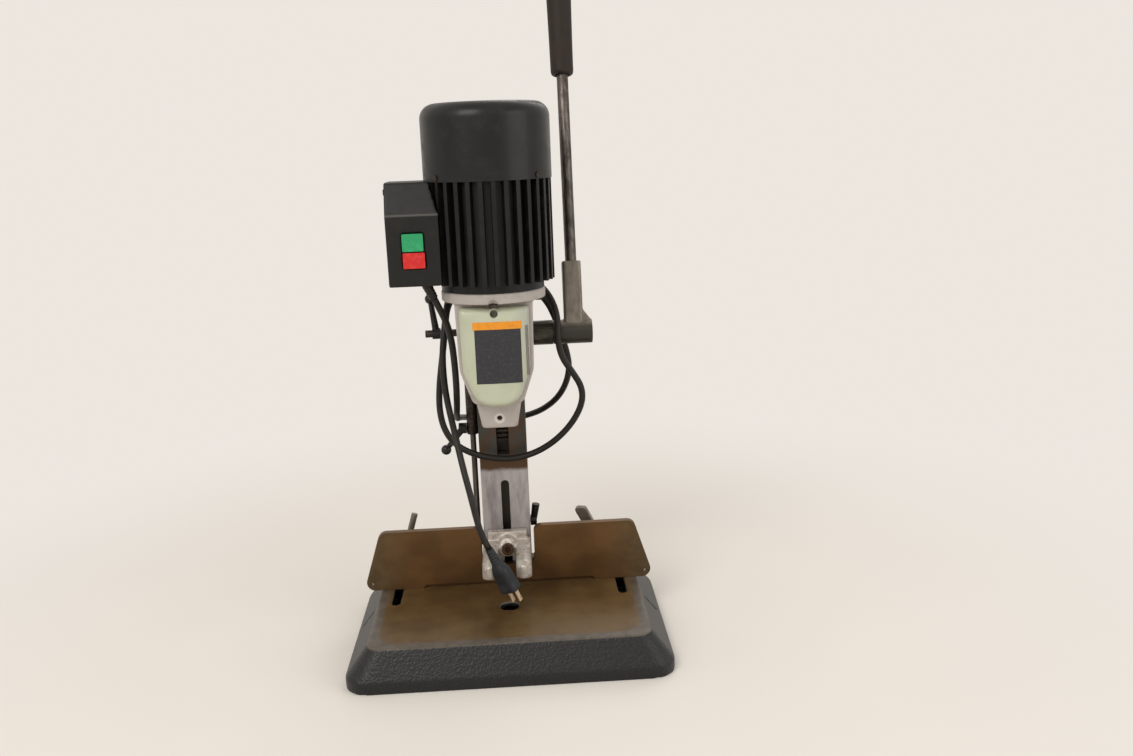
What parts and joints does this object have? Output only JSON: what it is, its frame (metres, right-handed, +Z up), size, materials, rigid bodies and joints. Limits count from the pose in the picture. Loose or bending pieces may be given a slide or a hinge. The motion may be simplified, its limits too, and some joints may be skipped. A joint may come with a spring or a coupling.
{
  "type": "benchtop mortiser",
  "caption": "Benchtop mortiser: motor head drawn down a square column by a geared feed lever over a cast base with fence, fork hold-down, depth stop, push-button switch and mains lead.",
  "frame": {"origin": "centre of the base's underside, on the bench", "axes": "+Z up along the column, +X to the user's right, -Y towards the user"},
  "size_m": [0.416, 0.2926, 0.8609],
  "materials": {
    "hammered_paint": "dark grey hammered enamel on cast iron",
    "dark_steel": "darkened steel with light rust",
    "casting_paint": "warm light grey painted casting",
    "pale_paint": "pale green-grey paint",
    "bright_steel": "ground or plated steel",
    "bronze": "plain bearing bronze",
    "tarnished_iron": "tarnished brown machined iron",
    "worn_iron": "worn bare iron with rust in the corners",
    "black_paint": "satin black paint",
    "motor_alloy": "satin black paint on cast aluminium",
    "stator_steel": "stacked electrical steel",
    "copper_wire": "enamelled copper wire",
    "black_plastic": "black moulded plastic",
    "green_plastic": "green moulded plastic",
    "red_plastic": "red moulded plastic",
    "grip_rubber": "dark brown-black rubber",
    "lead_rubber": "black rubber lead",
    "blade_brass": "plated brass"
  },
  "bodies": {
    "base": {"base_casting": "hammered_paint", "column": "dark_steel", "column_bolts": "dark_steel", "rack": "dark_steel", "rack_screws": "dark_steel", "depth_stop_rod": "bright_steel", "gas_spring_rod": "bright_steel", "plug_body": "lead_rubber", "plug_blades": "blade_brass"},
    "head": {"carriage_keepers": "bright_steel", "casting_screws": "dark_steel", "chisel_set_screw": "bright_steel", "cord_gland": "lead_rubber", "cord_lead": "lead_rubber", "cord_loop": "lead_rubber", "cord_tail": "lead_rubber", "depth_stop_sleeve": "bright_steel", "fan_cover": "black_paint", "front_cover": "pale_paint", "gas_spring_bridge": "dark_steel", "gas_spring_tube": "black_paint", "gib_strip": "bronze", "head_casting": "casting_paint", "head_lock_stud": "bright_steel", "motor_bearings": "bright_steel", "motor_bolts": "dark_steel", "motor_end_bell": "motor_alloy", "motor_frame": "motor_alloy", "motor_stator": "stator_steel", "motor_windings": "copper_wire", "pan_head_screws": "bright_steel", "pinion_bushes": "bronze", "switch_box_base": "black_plastic", "switch_box_cover": "black_plastic", "switch_box_saddle": "black_paint", "switch_module": "black_plastic"},
    "spindle": {"rotor_shaft": "bright_steel", "rotor_core": "stator_steel", "cooling_fan": "black_plastic", "chuck_body": "bright_steel", "chuck_jaws": "bright_steel"},
    "feed_lever": {"pinion_shaft": "bright_steel", "lever_hub": "casting_paint", "hub_pin": "dark_steel", "lever_rod": "worn_iron", "lever_grip": "grip_rubber"},
    "start_button": {"start_button": "green_plastic"},
    "stop_button": {"stop_button": "red_plastic"},
    "head_lock": {"head_lock_lever": "black_plastic"},
    "depth_lock": {"depth_lock_lever": "black_plastic"},
    "depth_collar": {"depth_stop_collar": "worn_iron"},
    "hold_down_lock": {"hold_down_lock": "worn_iron"},
    "hold_down": {"hold_down_fork": "worn_iron", "hold_down_nut": "dark_steel", "hold_down_bolt": "worn_iron"},
    "fence": {"fence_plate": "tarnished_iron", "fence_brackets": "tarnished_iron", "fence_bolts": "dark_steel"},
    "fence_lever_left": {"fence_lever_left": "worn_iron"},
    "fence_lever_right": {"fence_lever_right": "worn_iron"}
  },
  "joints": [
    {"name": "head_slide", "type": "slide", "parent": "base", "child": "head", "axis": [0, 0, -1], "range_m": [0, 0.095], "stiffness_N_per_m": 500, "springref_m": -0.5, "deforming": ["cord_lead", "cord_loop", "cord_tail"]},
    {"name": "spindle_spin", "type": "hinge", "parent": "head", "child": "spindle", "pos_m": [0, -0.021, 0.4], "axis": [0, 0, 1], "continuous": true},
    {"name": "pinion_turn", "type": "hinge", "parent": "head", "child": "feed_lever", "pos_m": [0, 0.03, 0.413], "axis": [1, 0, 0], "range_deg": [0, 136.5]},
    {"name": "start_push", "type": "slide", "parent": "head", "child": "start_button", "axis": [0, 1, 0], "range_m": [0, 0.003], "stiffness_N_per_m": 600},
    {"name": "stop_push", "type": "slide", "parent": "head", "child": "stop_button", "axis": [0, 1, 0], "range_m": [0, 0.003], "stiffness_N_per_m": 600},
    {"name": "head_lock_turn", "type": "hinge", "parent": "head", "child": "head_lock", "pos_m": [-0.083, 0.086, 0.408], "axis": [1, 0, 0], "range_deg": [-30, 75]},
    {"name": "depth_lock_turn", "type": "hinge", "parent": "head", "child": "depth_lock", "pos_m": [-0.052, 0.088, 0.272], "axis": [1, 0, 0], "range_deg": [0, 80]},
    {"name": "collar_slide", "type": "slide", "parent": "base", "child": "depth_collar", "axis": [0, 0, 1], "range_m": [0, 0.04]},
    {"name": "hold_down_lock_turn", "type": "hinge", "parent": "base", "child": "hold_down_lock", "pos_m": [0.037, 0.086, 0.132], "axis": [1, 0, 0], "range_deg": [-70, 40]},
    {"name": "hold_down_slide", "type": "slide", "parent": "base", "child": "hold_down", "axis": [0, 0, 1], "range_m": [-0.01, 0.07]},
    {"name": "fence_slide", "type": "slide", "parent": "base", "child": "fence", "axis": [0, -1, 0], "range_m": [0, 0.07]},
    {"name": "left_lever_turn", "type": "hinge", "parent": "fence", "child": "fence_lever_left", "pos_m": [-0.1554, 0.084, 0.068], "axis": [0, 0, 1], "range_deg": [0, 100]},
    {"name": "right_lever_turn", "type": "hinge", "parent": "fence", "child": "fence_lever_right", "pos_m": [0.1554, 0.084, 0.068], "axis": [0, 0, 1], "range_deg": [-100, 0]}
  ],
  "couplings": [
    {"joint": "pinion_turn", "follows": "head_slide", "rad_per_m": 25}
  ]
}
